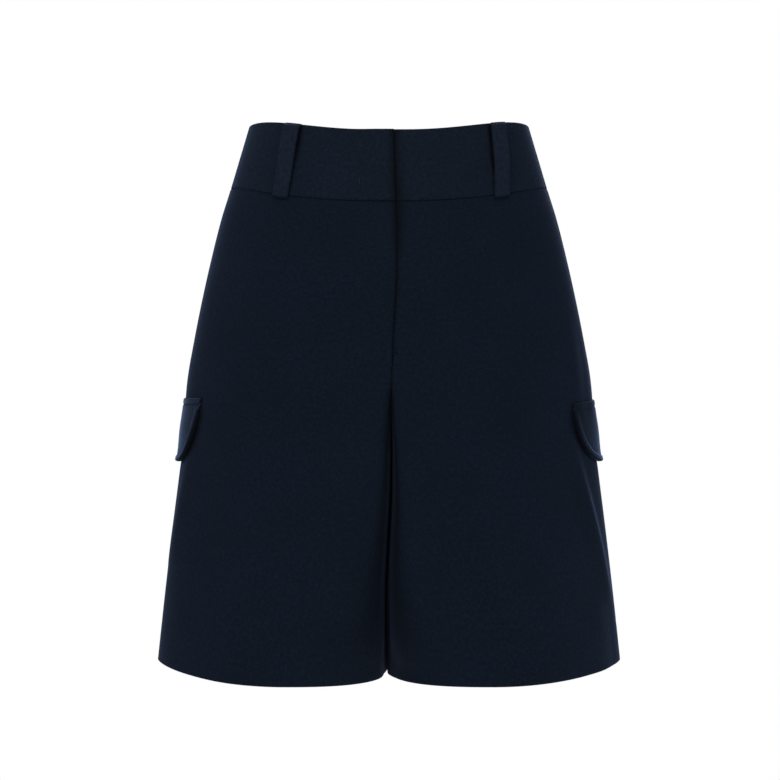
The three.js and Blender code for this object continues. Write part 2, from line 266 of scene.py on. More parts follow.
# How far the fly's upper edge stands proud: its thickness near the edge, eased to nothing.
def lapRise(half, face, ownX, z, thick):
    if half > 0 or face == "back":
        return 0.0 * z
    down = 1 - smooth((fly["lapEnd"] - z) / fly["riseFade"])
    return (thick + cut["lapClear"]) * down * (1 - smooth((ownX - fly["riseFrom"]) / fly["riseWidth"]))


# Where a half's own edge lies: on the centre line, with the lap and the part under it at the fly.
# The seat seam is in the middle as far as the fork and eases over to that line by the crotch.
def centreEdge(half, face, z):
    line = along(centreLine, "x", z) * half
    if face == "back":
        fork = legs["back"]["forkTop"]
        line = line * smooth((fork - z) / (fork - cut["crotch"]))
    gap = mix(cut["gap"] / 2, cut["legGap"] / 2, smooth((cut["crotch"] - z) / cut["legGapFade"]))
    gap = gap * (1 - cut["crotchClosed"] * bell(z - cut["crotch"], cut["crotchClosedTall"]))
    if face == "back":
        return line + gap
    if half > 0:
        return line + gap - (fly["underlap"] + gap) * flyOpen(z)
    return line + gap * (1 - flyOpen(z))


# How far the wall beside the gap moves at a depth: to one side in front of the inseam and to the
# other behind it, so the gap can't be seen through.
def leanAt(face, z, depth):
    forward = (depth if face == "front" else -depth) + cut["inseam"]
    near = smooth((gapLean["fade"] - np.abs(forward)) / (gapLean["fade"] - gapLean["within"]))
    lean = np.clip(forward / gapLean["within"], -1, 1)
    return -gapLean["across"] * lean * near * smooth((cut["crotch"] - z) / gapLean["ease"])


# The outer surface of one quarter of the body. inner runs from the centre or the inseam to where
# the outer face starts, and there x and depth follow a superellipse; turn then runs round to the
# side seam, with x by its sine and depth by a power of its cosine.
def bodyPoint(half, face, inner, turn, z, lapThick):
    inner, turn, z = np.broadcast_arrays(inner, turn, z)
    leg = legs[face]
    down = clamp((leg["forkTop"] - z) / (leg["forkTop"] - cut["hem"]))
    start = centreEdge(half, face, z)
    joint = leg["flat"] + leg["rounding"] * down ** leg["power"]
    width = along(levels, "halfWidth", z)
    depth = along(levels, face, z)
    around = clamp(inner) * quarter
    power = 2 / mix(cut["squareAtFork"], cut["squareAtHem"], down ** cut["squareFade"])
    straightX = mix(start, joint, inner)
    curvedX = mix(joint, start, np.cos(around) ** power)
    full = depth + lapRise(half, face, straightX, z, lapThick)
    innerDepth = np.where(down > 0, mix(crotchDepth(face, z, depth), full, np.sin(around) ** power), full)
    curvedX = curvedX + half * leanAt(face, z, innerDepth) * np.cos(around) ** power
    innerX = np.where(down > 0, curvedX, straightX)
    rise = lapRise(half, face, mix(joint, width, np.sin(turn)), z, lapThick)
    faceX = mix(joint, width + rise, np.sin(turn))
    reach = clamp(np.cos(turn)) ** along(levels, "sidePower", z)
    faceDepth = mix(cut["gap"] / 2, depth + rise, reach)
    onFace = inner >= 1
    x = np.where(onFace, faceX, innerX)
    y = np.where(onFace, faceDepth, innerDepth)
    return np.stack([half * x, -y if face == "front" else y, z], -1)


# How far the band's top or seam dips: its drop times a power of the cosine of the turn.
def dipOf(face, turn, edge):
    drop, power = dips[face][edge]
    return drop * np.cos(turn) ** power


# The real height of a level: the waist seam's dip and the hem's drop, each a power of a cosine that
# dies out as a square.
def clothHeight(face, turn, z):
    nearSeam = clamp(1 - (cut["bandSeam"] - z) / cut["seamDipFade"]) ** 2
    nearHem = clamp((cut["hemDropFrom"] - z) / (cut["hemDropFrom"] - cut["hem"])) ** 2
    drop = cut["hemDrop"] * np.cos(turn) ** cut["hemDropPower"]
    return z - dipOf(face, turn, "seam") * nearSeam - drop * nearHem


# The real height at a share of the way up the band, between its seam and its top edge.
def bandHeight(face, turn, up):
    low = cut["bandSeam"] + cut["gap"] / 2 - dipOf(face, turn, "seam")
    high = cut["bandTop"] - dipOf(face, turn, "top")
    return mix(low, high, up)


# The turn at a distance x from the centre: the arcsine of its share of the way to the side.
def turnAt(face, x, z):
    flat = legs[face]["flat"]
    return np.arcsin(clamp((np.abs(x) - flat) / (along(levels, "halfWidth", z) - flat)))


# The body's surface at a distance x from the centre, whose turn is found from x.
def bodyAtX(half, face, x, z):
    reach = np.cos(turnAt(face, x, z)) ** along(levels, "sidePower", z)
    depth = mix(cut["gap"] / 2, along(levels, face, z), reach)
    return np.stack(np.broadcast_arrays(half * x, -depth if face == "front" else depth, z), -1)


# how finely the body is walked to find distances over it
walk = {
    "innerSteps": 240,
    "innerCrowding": 1.5,  # closer together where the leg turns in
    "turnSteps": 400, "sideRows": 40, "sideSteps": 300,
    "apart": 10,  # mm that keep one row's distances clear of the next row's
}
# mm from an edge of the cloth, close together for the seam's roll
nearEdge = np.array([0, 0.12, 0.35, 0.7, 1.1, 1.6, 2.3, 3.2, 4.4])


# Distances from 0 to the length: close together near both ends and even between them.
def spread(length, count):
    length = np.asarray(length, float)[..., None]
    middle = nearEdge[-1] + (length - 2 * nearEdge[-1]) * np.linspace(0, 1, count)[1:-1]
    first = np.broadcast_to(nearEdge, (*length.shape[:-1], len(nearEdge)))
    return np.concatenate([first, middle, length - first[..., ::-1]], -1)


# The distances walked along each row of a fine net, and a shift that keeps the rows apart.
def walkRows(fine):
    step = np.linalg.norm(np.diff(fine, axis=1), axis=2)
    walked = np.concatenate([np.zeros((len(fine), 1)), np.cumsum(step, 1)], 1)
    return walked, (np.arange(len(fine)) * (walked.max() + walk["apart"]))[:, None]


# A net over a quarter of the body: each row is walked with a fine step, then points are put at
# chosen distances along it. Gives the points and their distances from both ends.
def clothNet(half, face, heightAt, rows, across, lapThick):
    fineInner = np.linspace(0, 1, walk["innerSteps"]) ** walk["innerCrowding"]
    fineTurn = np.linspace(0, quarter, walk["turnSteps"])
    inner = np.concatenate([fineInner[:-1], np.ones(len(fineTurn))])
    turn = np.concatenate([np.zeros(len(fineInner) - 1), fineTurn])
    place = np.arange(len(inner), dtype=float)
    fine = bodyPoint(half, face, inner[None], turn[None], heightAt(face, turn[None], rows[:, None]), lapThick)
    walked, apart = walkRows(fine)
    length = walked[:, -1]
    fromStart = spread(length, across)
    flatPlace = np.broadcast_to(place, walked.shape).ravel()
    at = np.interp((fromStart + apart).ravel(), (walked + apart).ravel(), flatPlace).reshape(fromStart.shape)
    atInner = np.interp(at, place, inner)
    atTurn = np.interp(at, place, turn)
    points = bodyPoint(half, face, atInner, atTurn, heightAt(face, atTurn, rows[:, None]), lapThick)
    return points, fromStart, length[:, None] - fromStart


# The unit normals of a net: the cross product of its two directions, away from the body's axis.
def netNormals(points):
    normal = np.cross(np.gradient(points, axis=1), np.gradient(points, axis=0))
    normal /= np.maximum(np.linalg.norm(normal, axis=2, keepdims=True), 1e-9)
    outward = points * (1, 1, 0)
    return normal * np.where(np.sum(normal * outward, axis=2, keepdims=True).mean() < 0, -1, 1)


# How far an edge has rolled in at a distance from it: a quarter circle of the radius.
def edgeRoll(distance, radius):
    left = np.clip(radius - distance, 0, radius)
    return radius - np.sqrt(radius**2 - left**2)


# The four-sided faces of a net, each between neighbouring rows and columns.
def netFaces(rows, columns, start, flip):
    i = np.arange(rows * columns).reshape(rows, columns) + start
    quads = np.stack([i[:-1, :-1], i[1:, :-1], i[1:, 1:], i[:-1, 1:]], -1).reshape(-1, 4)
    return quads[:, ::-1] if flip else quads


# The volume in a closed mesh, a sixth of its triangles' triple products: negative if inside out.
def signedVolume(points, quads):
    a, b, c, d = (points[quads[:, k]] for k in range(4))
    return (np.einsum("ij,ij->i", a, np.cross(b, c)) + np.einsum("ij,ij->i", a, np.cross(c, d))).sum() / 6


# The object for a mesh, at the origin and riding on the one body.
def addPiece(name, mesh, material):
    mesh.materials.append(material)
    piece = bpy.data.objects.new(name, mesh)
    scene.collection.objects.link(piece)
    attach(piece, "root")
    return piece


# Makes a piece from points in mm. Its cloth map is in metres, and pressed says how dark the cloth is
# painted, from 0 to 1: painted shade, and along the seams pressed nap as well.
def makeMesh(name, points, quads, uv, pressed, material):
    mesh = bpy.data.meshes.new(name)
    if signedVolume(points, quads) < 0:
        quads = quads[:, ::-1]
    mesh.from_pydata(points * mm, [], quads)
    layer = mesh.uv_layers.new(name="cloth")
    corner = np.empty(len(mesh.loops), np.int32)
    mesh.loops.foreach_get("vertex_index", corner)
    layer.data.foreach_set("uv", (uv[corner] * mm).ravel())
    mesh.attributes.new("pressed", "FLOAT", "POINT").data.foreach_set("value", pressed)
    mesh.polygons.foreach_set("use_smooth", np.ones(len(mesh.polygons), bool))
    return addPiece(name, mesh, material)


# The cloth of one node as a closed wall: outer and inner say how far its two faces lie off the net
# along the normal, and a strip runs round the rim. under is the painted shade of the inner side.
def wallPiece(node, net, outer, inner, uv, pressed, material, under=0.0):
    rows, columns = net.shape[:2]
    normal = netNormals(net)
    count = rows * columns
    i = np.arange(count).reshape(rows, columns)
    rim = np.concatenate([i[0, :-1], i[:-1, -1], i[-1, :0:-1], i[:0:-1, 0]])
    after = np.roll(rim, -1)
    strip = np.stack([rim, after, after + count, rim + count], 1)
    quads = np.concatenate([netFaces(rows, columns, 0, False), netFaces(rows, columns, count, True), strip])
    points = np.concatenate([(net + normal * off[..., None]).reshape(-1, 3) for off in (outer, inner)])
    flatUv = np.concatenate([uv.reshape(-1, 2)] * 2)
    bothSidesShaded = np.concatenate([np.broadcast_to(pressed, (rows, columns)).ravel(), np.full(count, under)])
    piece = makeMesh(f"cloth_{node}", points, quads, flatUv, bothSidesShaded, material)
    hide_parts(node)
    return piece


# wool flannel, woven as a twill, then milled and brushed: a soft matt nap hides the weave, with a
# pale bloom where it is seen edge on
woolCloth = {
    "fleck": "222e42", "pressAndShadeColour": "030509", "roughness": 0.92, "specular": 0.08,
    "sheenRoughness": 0.27, "sheenTint": "a8c6ff",
    "bloomFades": 0.8,  # how far edge on the bloom starts to die out
    "edgeBloom": 0.1,  # what is left of the bloom right at the outline
    "napGrain": 3.2,  # mm, clumps of brushed fibre
    "fibre": 0.9,  # mm, drawn coarser than the real 0.02 so that it shows
    "fibreLong": 0.35,
    "twill": 1.6,  # mm between wales, about twice the real spacing
    "cloud": 60.0,  # mm, uneven brushing
    "cloudWeight": 0.3,
    "tones": (0.41, 0.89),  # of the mottling, from the deep colour to the pale one
    "fleckTones": (0.55, 0.85), "fleckMost": 0.25,
    "darkest": 0.85,  # of the shade colour, in the pressed seams and painted shade of panels and band
}
# strength of each bump, and its height in metres
woolBumps = {"weave": (0.1, 0.0002), "nap": (0.3, 0.0006), "fibre": (0.25, 0.0003)}
# the nap's deep and pale colours on each kind of piece, and its bloom; the flaps' bloom is turned up to full,
# a painted highlight for the light they catch edge on
woolTones = {
    "panels": ("080e17", "0e1825", 0.28), "waistband": ("0a111a", "131b28", 0.28),
    "loops": ("0e151f", "18212f", 0.27), "flaps": ("0e161f", "182230", 1.0),
}


# The wool of one kind of piece: noise of the nap and the brushing mixes the deep colour and the pale
# one, fibres add flecks, the pressed attribute paints shade by darkening towards the shade colour, and
# the bloom is a sheen that this painted shade takes away and that is less at the outline.
def brushedWool(name, tones):
    look = woolCloth
    deep, pale, sheen = tones
    material, tree = newMaterial(name)
    coordinates = addNode(tree, "TexCoord")
    uv = coordinates.outputs["UV"]
    cloud = addNode(tree, "TexNoise", Vector=coordinates.outputs["Object"],
                    Scale=1000 / look["cloud"], Detail=2.0, Roughness=0.5)
    grain = addNode(tree, "TexNoise", Vector=uv, Scale=1000 / look["napGrain"], Detail=3.0,
                    Roughness=0.55)
    lengthwise = addNode(tree, "Mapping", Vector=uv, Scale=(1.0, look["fibreLong"], 1.0))
    fibre = addNode(tree, "TexNoise", Vector=lengthwise.outputs[0], Scale=1000 / look["fibre"],
                    Detail=2.0, Roughness=0.6)
    # at scale 1 a diagonal wave has its bands pi / 5 apart along each axis
    twill = addNode(tree, "TexWave", {"bands_direction": "DIAGONAL"}, Vector=uv,
                    Scale=1000 * np.pi / 5 / (look["twill"] * 2**0.5), Distortion=1.2, Detail=1.0)
    mottled = addNode(tree, "Math", {"operation": "MULTIPLY_ADD"}, in0=cloud.outputs[0],
                      in1=look["cloudWeight"], in2=grain.outputs[0])
    tone = addNode(tree, "MapRange", Value=mottled.outputs[0], From_Min=look["tones"][0],
                   From_Max=look["tones"][1])
    colour = addNode(tree, "Mix", {"data_type": "RGBA"}, in0=tone.outputs[0],
                     in6=linear(deep), in7=linear(pale))
    flecks = addNode(tree, "MapRange", Value=fibre.outputs[0], From_Min=look["fleckTones"][0],
                     From_Max=look["fleckTones"][1], To_Max=look["fleckMost"])
    flecked = addNode(tree, "Mix", {"data_type": "RGBA"}, in0=flecks.outputs[0],
                      in6=colour.outputs[2], in7=linear(look["fleck"]))
    # painted shade: the pressed attribute darkens the colour towards the shade colour and takes the sheen
    # away
    pressed = addNode(tree, "Attribute", {"attribute_name": "pressed"})
    darkened = addNode(tree, "Mix", {"data_type": "RGBA"}, in0=pressed.outputs["Fac"],
                      in6=flecked.outputs[2], in7=linear(look["pressAndShadeColour"]))
    relief = {}
    for kind, height in (("weave", twill), ("nap", grain), ("fibre", fibre)):
        strength, distance = woolBumps[kind]
        bump = addNode(tree, "Bump", Strength=strength, Distance=distance, Height=height.outputs["Fac"],
                       **relief)
        relief = {"Normal": bump.outputs[0]}
    sheenLeft = addNode(tree, "MapRange", Value=pressed.outputs["Fac"], To_Min=sheen, To_Max=0.0)
    facing = addNode(tree, "LayerWeight", Blend=0.5)
    edge = addNode(tree, "MapRange", Value=facing.outputs["Facing"], From_Min=look["bloomFades"],
                   To_Min=1.0, To_Max=look["edgeBloom"])
    bloom = addNode(tree, "Math", {"operation": "MULTIPLY"}, in0=sheenLeft.outputs[0],
                    in1=edge.outputs[0])
    shader = addNode(tree, "BsdfPrincipled", Base_Color=darkened.outputs[2],
                     Roughness=look["roughness"], Specular_IOR_Level=look["specular"],
                     Sheen_Weight=bloom.outputs[0], Sheen_Roughness=look["sheenRoughness"],
                     Sheen_Tint=linear(look["sheenTint"]), **relief)
    addNode(tree, "OutputMaterial", Surface=shader.outputs[0])
    return material


clothWool = brushedWool("woolFlannelPanels", woolTones["panels"])
bandWool = brushedWool("woolFlannelWaistband", woolTones["waistband"])
loopWool = brushedWool("woolFlannelLoops", woolTones["loops"])
flapWool = brushedWool("woolFlannelFlaps", woolTones["flaps"])
print("materials made")


# How dark a line is painted, part pressed nap and part painted shade along seams and edges: a bell of the
# distance from it in mm.
def darkLine(distance, line):
    most, wide = line
    return most * bell(distance, wide)


# folds: half, face, top, bottom, distance from the side seam at the top and at the bottom, width,
# height, and how much wider the side towards the middle is
folds = [
    (1, "front", -260, -420, 58, 15, 8.0, 4.6, 0.7),
    (1, "front", -150, -262, 43, 47, 11, 0.8, 0.0),
    (1, "front", -150, -250, 29, 31, 8, -0.5, 0.0),
    (1, "front", -396, -505, 41, 50, 12, 1.1, 0.3),
    (1, "front", -410, -500, 20, 25, 6, -0.4, 0.0),
    (1, "front", -60, -240, 96, 120, 26, -0.9, 0.0),
    (-1, "front", -256, -386, 38, 8, 11, 2.0, 0.4),
    (-1, "front", -300, -500, 60, 74, 22, -1.1, 0.0),
    (-1, "front", -70, -230, 92, 108, 24, 0.9, 0.0),
    (-1, "front", -396, -500, 118, 112, 20, 0.9, 0.0),
    (1, "back", -262, -440, 52, 16, 12, 2.2, 0.3),
    (1, "back", -214, -330, 132, 74, 11, -1.7, 0.5),
    (1, "back", -236, -372, 148, 104, 12, 1.6, 0.0),
    (1, "back", -350, -500, 96, 90, 20, 1.3, 0.0),
    (-1, "back", -266, -430, 48, 18, 12, 2.0, 0.2),
    (-1, "back", -222, -352, 126, 82, 13, -1.9, 0.0),
    (-1, "back", -250, -400, 150, 118, 11, 1.4, 0.6),
    (-1, "back", -338, -500, 80, 92, 24, -1.2, 0.0),
]
foldEnds = 0.7  # power of the sine that a fold swells and dies out by


# Each fold is a bell across its line, wider on the side towards the middle, swelling and dying out
# along it as a power of a sine.
def foldRise(half, face, fromSide, z):
    rise = np.zeros(np.broadcast(fromSide, z).shape)
    for side, which, top, bottom, atTop, atBottom, width, height, wider in folds:
        if (side, which) == (half, face):
            down = clamp((top - z) / (top - bottom))
            off = fromSide - mix(atTop, atBottom, down)
            across = bell(off, width * np.where(off > 0, 1 + wider, 1))
            rise = rise + height * np.sin(np.pi * down) ** foldEnds * across
    return rise


# pocket flaps
flapShape = {
    "bottom": -286.5, "across": 110,
    "down": (52, 22),  # rows down to the hem, and in it
    "hemFrom": 0.86, "thickTop": 1.8, "thickEdge": 4.6,
    "thicken": 1.6,  # how fast, in heights of the flap
    "sideEdge": 5.0, "rest": 0.2, "roll": 1.7,
    "rollShare": 0.6,  # the most that an edge may roll, of the thickness
    "innerRoll": 0.3, "welt": 5.2, "weltStep": 1.1, "weltSlope": 2.2,
    "weltSeam": 1.6,  # how far past the welt a line of painted shade lies
    "weltTop": 7.0,  # how far down the welt starts
    "weltFade": 8.0, "stitchDown": 6.2, "groove": 0.6, "grooveWide": 1.1,
    "shadeFrom": 5.0,  # the shade at the top turns to that of the rest between here
    "shadeOver": 44.0,  # and this much further down
    "mapFrom": 300.0,  # sets its grain apart from the leg's
    # how dark the painted shade on the flap's inner side is
    "under": 0.9,
}
# lines of painted shade along the stitching, the top, the edge and inside the welt: how dark, and how wide
flapShadeLines = {"stitches": (0.5, 1.3), "top": (0.4, 0.9), "edge": (0.75, 2.0), "welt": (0.3, 1.3)}
# topShade and shade: painted shade over the top of each flap and over the rest, darker on one flap than the
# other
flaps = [
    {"name": "pocket_flap_left", "half": 1, "top": -227.5, "frontDrop": 3.5, "toFront": 54.5, "toBack": 66,
     "squareness": 2.4, "taper": 0.04, "lift": 1.4, "topShade": 0.62, "shade": 0.22},
    {"name": "pocket_flap_right", "half": -1, "top": -226, "frontDrop": 0, "toFront": 48.5, "toBack": 72,
     "squareness": 3.4, "taper": 0.32, "lift": 1.2, "topShade": 0.1, "shade": 0.0},
]


# Points at distances round from the side seam, to the back if positive: each face's section is
# walked at even heights, read off at the distance, and mixed between the two nearest heights.
def sidePoints(half, distance, z):
    rows = walk["sideRows"]
    heights = np.linspace(z.max(), z.min(), rows)
    place = (z.max() - z) / (z.max() - z.min()) * (rows - 1)
    low = np.clip(place.astype(int), 0, rows - 2)
    turn = np.linspace(quarter, 0, walk["sideSteps"])
    points = np.empty((*z.shape, 3))
    for face, side in (("front", -1), ("back", 1)):
        fine = bodyPoint(half, face, 1.0, turn[None], heights[:, None], cut["cloth"])
        walked, apart = walkRows(fine)
        known = (walked + apart).ravel()
        turns = np.broadcast_to(turn, walked.shape).ravel()
        above, below = (np.interp(np.abs(distance) + apart[low + k, 0], known, turns) for k in (0, 1))
        here = bodyPoint(half, face, 1.0, mix(above, below, place - low), z, cut["cloth"])
        here[..., 1] -= side * cut["gap"] / 2
        points = np.where((distance * side >= 0)[..., None], here, points)
    return points


# A flap hangs from its sewn top strip. Its sides narrow a little and round into the bottom as a
# superellipse, a welt runs round inside its edge, and it lifts off the leg towards the bottom.
def makeFlap(row):
    shape = flapShape
    half, height = row["half"], row["top"] - shape["bottom"]
    u = np.sin(np.linspace(-quarter, quarter, shape["across"]))[None]
    toHem, inHem = shape["down"]
    down = np.concatenate([np.linspace(0, shape["hemFrom"], toHem)[:-1],
                           np.linspace(shape["hemFrom"], 1, inHem)])[:, None]
    corner = row["squareness"]
    bottom = shape["sideEdge"] + (height - shape["sideEdge"]) * (1 - np.abs(u) ** corner) ** (1 / corner)
    below = down * bottom
    distance = u * np.where(u < 0, row["toFront"], row["toBack"]) * (1 - row["taper"] * below / height)
    topDrop = row["frontDrop"] * clamp(-u)
    z = row["top"] - below - topDrop * (1 - down)
    flat = np.stack([distance, z], -1)
    hem = np.concatenate([flat[-1], flat[:, 0], flat[:, -1]])
    fromHem = np.sqrt(((flat[:, :, None] - hem) ** 2).sum(-1)).min(-1)
    fromTop = row["top"] - topDrop - z
    onWelt = smooth((fromTop - shape["weltTop"]) / shape["weltFade"])
    welt = shape["weltStep"] * stepAt(shape["welt"] - fromHem, shape["weltSlope"]) * onWelt
    thick = mix(shape["thickTop"], shape["thickEdge"] - shape["weltStep"],
                smooth(below / height * shape["thicken"]))
    groove = shape["groove"] * bell(fromTop - shape["stitchDown"], shape["grooveWide"])
    roll = np.minimum(edgeRoll(np.minimum(fromHem, fromTop), shape["roll"]), thick * shape["rollShare"])
    lift = shape["rest"] + row["lift"] * below / height
    onFolds = foldRise(half, "front", np.abs(distance), z) * (distance < 0)
    outer = onFolds + lift + thick + welt - groove - roll
    inner = onFolds + lift + shape["innerRoll"] * roll
    # painted shade on the flap: dark lines along its stitching, top, edge and welt, and a flat shade that is
    # darker at the top
    pressed = np.maximum.reduce([
        darkLine(fromTop - shape["stitchDown"], flapShadeLines["stitches"]),
        darkLine(fromTop, flapShadeLines["top"]),
        darkLine(fromHem, flapShadeLines["edge"]),
        darkLine(fromHem - shape["welt"] - shape["weltSeam"], flapShadeLines["welt"]) * onWelt,
        mix(row["topShade"], row["shade"], smooth((fromTop - shape["shadeFrom"]) / shape["shadeOver"]))])
    uv = np.stack([distance + shape["mapFrom"], -below], -1)
    return wallPiece(row["name"], sidePoints(half, distance, z), outer, inner, uv, pressed,
                     flapWool, shape["under"])


for row in flaps:
    makeFlap(row)
print("pocket flaps made")


# panels
panelShape = {
    "rows": (58, 36, 62),  # how many down to the fork, to the crotch and to the hem
    "across": 84,
    "seamRoll": 1.25,  # how deep a pressed seam sinks
    "centreRoll": 0.8,  # the crotch seam is pressed flatter
    "insideRoll": 0.5,
    "facingAbove": 6.0,  # from here above the fork the two halves turn face to face
    "facingOver": 8.0, "facingEnd": 12.0,
    "allowance": 12.0,  # seam allowance pressed open inside
    "allowanceThick": 0.7,
    "openEdge": 100.0,  # the fly's edge has no allowance, so it counts as this far off
    "insideStep": 1.5,  # how wide the allowance's and the hem's steps are inside
    "legSeamFade": 30.0,  # the inseam hardly shows between the legs
    "hemLine": {1: 0.9, -1: 0.45},  # how much the turned-up edge shows on each leg
    "hemLineWide": 1.6,
    "hemStitch": 6.4,  # from one blind stitch to the next
    "hemDimple": 0.3,
    "dartAt": (98, 102),  # from the side seam, at the waist and at the point
    "dartLength": 92.0, "dartSink": 0.8, "dartSeam": 1.3,
    "dartHollow": 7.0,  # the drawn-in cloth beside it, and its share of the depth
    "dartHollowShare": 0.5,
}
# lines of pressed nap and painted shade in the grooves of the waist, side and crotch seams, a faint painted
# shade along the hem's turn-up, and painted shade in the dart: how dark, and how wide
panelSeamShade = {"waist": (0.5, 1.3), "side": (0.8, 1.3), "centre": (0.7, 1.3), "hem": 0.16, "dart": 0.7}
# how wide and dark the dip beside the fly's edge is at each height, and how wide the painted shade on the
# edge is
lapShade = {"z": [40, -24, -50, -66, -88, -108, -215, -230],
            "width": [5.6, 6.0, 7.5, 7.5, 5.5, 2.2, 1.6, 1.6],
            "strength": [0.8, 0.8, 0.95, 0.95, 0.85, 0.55, 0.45, 0.45],
            "edge": [4.6, 4.6, 4.0, 3.6, 2.8, 1.8, 1.4, 1.4]}
# the shade between the legs: half the width of its dark core, the turned cloth beside it, and its
# soft skirt on each leg
cleft = {"z": [-203, -212, -228, -254, -335, -353, -398, -412, -440, -454, -475],
         "core": [0.8, 1.5, 2.2, 3.0, 3.1, 3.0, 3.2, 4.2, 4.2, 3.4, 3.2],
         "strength": [0, 0.9, 1, 1, 1, 1, 1, 1, 1, 1, 1],
         "turned": [0, 0.5, 0.75, 0.8, 0.8, 0.82, 0.84, 0.84, 0.8, 0.66, 0.6],
         "reach": [4, 4, 5, 6, 8, 9, 10, 11, 11, 11, 12],
         "skirt": [0, 0.12, 0.2, 0.2, 0.24, 0.34, 0.46, 0.52, 0.5, 0.36, 0.3],
         "right": [5, 5, 5, 6, 10, 15, 18, 18, 18, 15, 13],
         "left": [6, 6, 7, 7, 8, 10, 12, 13, 13, 13, 12]}
cleftTurn = {"behind": 0.8, "over": 5.0}
# under a flap's edge: how dark the leg is, how far past the edge and below the flap's top, and how
# it comes and goes
legShade = {"dark": 0.75, "past": 4.0, "below": 4.0, "comes": 14.0, "goes": 7.0}
# a painted shade along the upper hip that dims the light at the outline: how low it ends, how it fades, how
# wide it is and how dark
hipShadeSizes = {"bottom": -205.0, "fade": 50.0, "wide": 34.0, "flat": 0.45}


# Along the side seam on the wearer's left a painted shade dims the light at the outline, from the
# waist to just above the flap: a wide bell from the seam.
def hipRimShade(half, fromSide, z):
    down = smooth((z - hipShadeSizes["bottom"]) / hipShadeSizes["fade"])
    return hipShadeSizes["flat"] * bell(fromSide, hipShadeSizes["wide"]) * down * (half >= 0)


# Beside the fly's edge the cloth below dips and lies in shade: a bell that starts at the edge.
def besideLap(half, face, points):
    if half < 0 or face == "back":
        return 0 * points[..., 0]
    z = points[..., 2]
    off = points[..., 0] - along(centreLine, "x", z)
    shade = straightAt(lapShade, "strength", z) * bell(off, straightAt(lapShade, "width", z))
    return np.where(off < 0, 1.0, shade) * stepAt(z - fly["lapEnd"], fly["dipFade"])


# The painted shade on the fly's own edge, where it rounds off: a bell whose width changes with the height.
def lapEdgeShade(fromStart, z):
    return fly["edgeShade"] * bell(fromStart, straightAt(lapShade, "edge", z))


# How far the fly's own edge rounds off: its depth at the edge, eased to nothing.
def lapRound(fromStart):
    return fly["roundDeep"] * (1 - smooth(fromStart / fly["rounded"]))


# Where the leg turns in to the cleft between the legs the nap lies in shade: a dark core by a
# steep bell of the distance from the gap, the turned cloth by how far it lies behind the face, and
# a soft skirt by a wide bell.
def cleftShade(half, face, points):
    x, y, z = np.moveaxis(points, -1, 0)
    off = np.abs(x - along(centreLine, "x", z))
    behind = along(levels, face, z) - np.abs(y)
    core, strength, turned, reach, skirt, wide = (
        straightAt(cleft, column, z)
        for column in ("core", "strength", "turned", "reach", "skirt", "left" if half > 0 else "right"))
    side = turned * smooth((behind - cleftTurn["behind"]) / cleftTurn["over"]) * bell(off, reach, 4)
    return np.maximum.reduce([strength * bell(off, core, 3), side, skirt * bell(off, wide)])


# Under a flap's free edge the leg lies in shade: a bell from where that edge is at the height.
def flapShade(half, face, fromSide, z):
    if face == "back":
        return 0 * z
    row = next(r for r in flaps if r["half"] == half)
    height = row["top"] - flapShape["bottom"]
    below = np.clip(row["top"] - z, 0, height)
    rounded = clamp((below - flapShape["sideEdge"]) / (height - flapShape["sideEdge"]))
    reach = (1 - rounded ** row["squareness"]) ** (1 / row["squareness"]) * row["toFront"]
    past = fromSide - reach * (1 - row["taper"] * below / height)
    come = smooth((row["top"] - legShade["below"] - z) / legShade["comes"])
    gone = smooth((flapShape["bottom"] - z) / legShade["goes"])
    return legShade["dark"] * come * (1 - gone) * np.where(past < 0, 1.0, bell(past, legShade["past"]))


# The levels of a panel's rows: close together at both ends, and even in each stretch between.
def panelRows(face):
    fork = legs[face]["forkTop"]
    top = cut["bandSeam"] - cut["gap"] / 2
    toFork, toCrotch, toHem = panelShape["rows"]
    return np.concatenate([
        top - nearEdge[:-1],
        np.linspace(top - nearEdge[-1], fork, toFork)[:-1],
        np.linspace(fork, cut["crotch"], toCrotch)[:-1],
        np.linspace(cut["crotch"], cut["hem"] + nearEdge[-1], toHem)[:-1],
        cut["hem"] + nearEdge[::-1],
    ])


# A back dart is a sewn line from the waist seam that leans to the side seam: a groove with its
# sides drawn in, dying out at the point.
def dartSink(face, fromSide, fromTop):
    if face == "front":
        return 0 * fromSide
    shape = panelShape
    down = clamp(fromTop / shape["dartLength"])
    off = fromSide - mix(*shape["dartAt"], down)
    groove = bell(off, shape["dartSeam"]) + shape["dartHollowShare"] * bell(off, shape["dartHollow"])
    return shape["dartSink"] * (1 - smooth(down)) * groove


